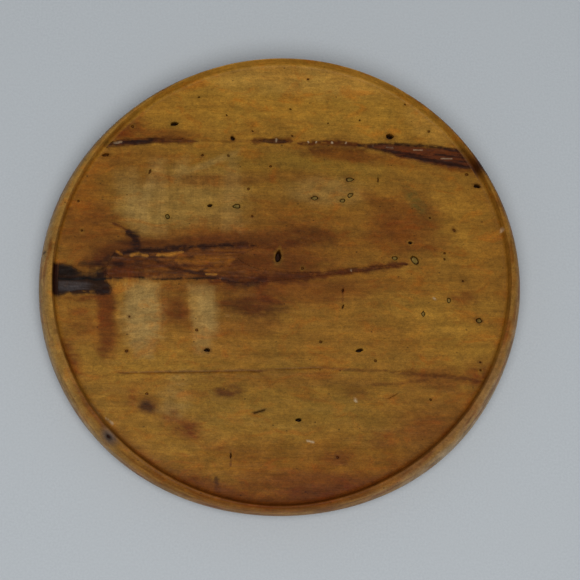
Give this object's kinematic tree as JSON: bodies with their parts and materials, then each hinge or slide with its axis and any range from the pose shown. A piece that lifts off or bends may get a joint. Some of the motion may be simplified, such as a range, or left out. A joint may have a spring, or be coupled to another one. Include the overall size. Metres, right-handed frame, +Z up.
{
  "type": "wooden offering plate",
  "caption": "Flat round turned wooden plate with a recessed floor, a low narrow rim and a rounded edge, for passing round and collecting coins.",
  "frame": {"origin": "centre of the base, on the surface the plate stands on", "axes": "+Z up out of the plate, +X along the grain and the longer side of the oval outline, +Y across the grain"},
  "size_m": [0.24, 0.2308, 0.02],
  "materials": {
    "plate_wood": "old waxed fruitwood, honey brown, semi-gloss",
    "dead_knot": "hard black knot wood, glossy",
    "branch_wood": "red-brown branch wood, waxed",
    "ingrown_bark": "dark red-brown bark and resin, glossy in places",
    "packed_dust": "pale packed bore dust and wax, matt"
  },
  "bodies": {
    "root": {"plate_body": "plate_wood", "black_knot": "dead_knot", "branch_spike": "branch_wood", "bark_pocket": "ingrown_bark", "bark_seams": "ingrown_bark", "pin_knot": "dead_knot", "hole_plugs": "packed_dust"}
  },
  "joints": []
}
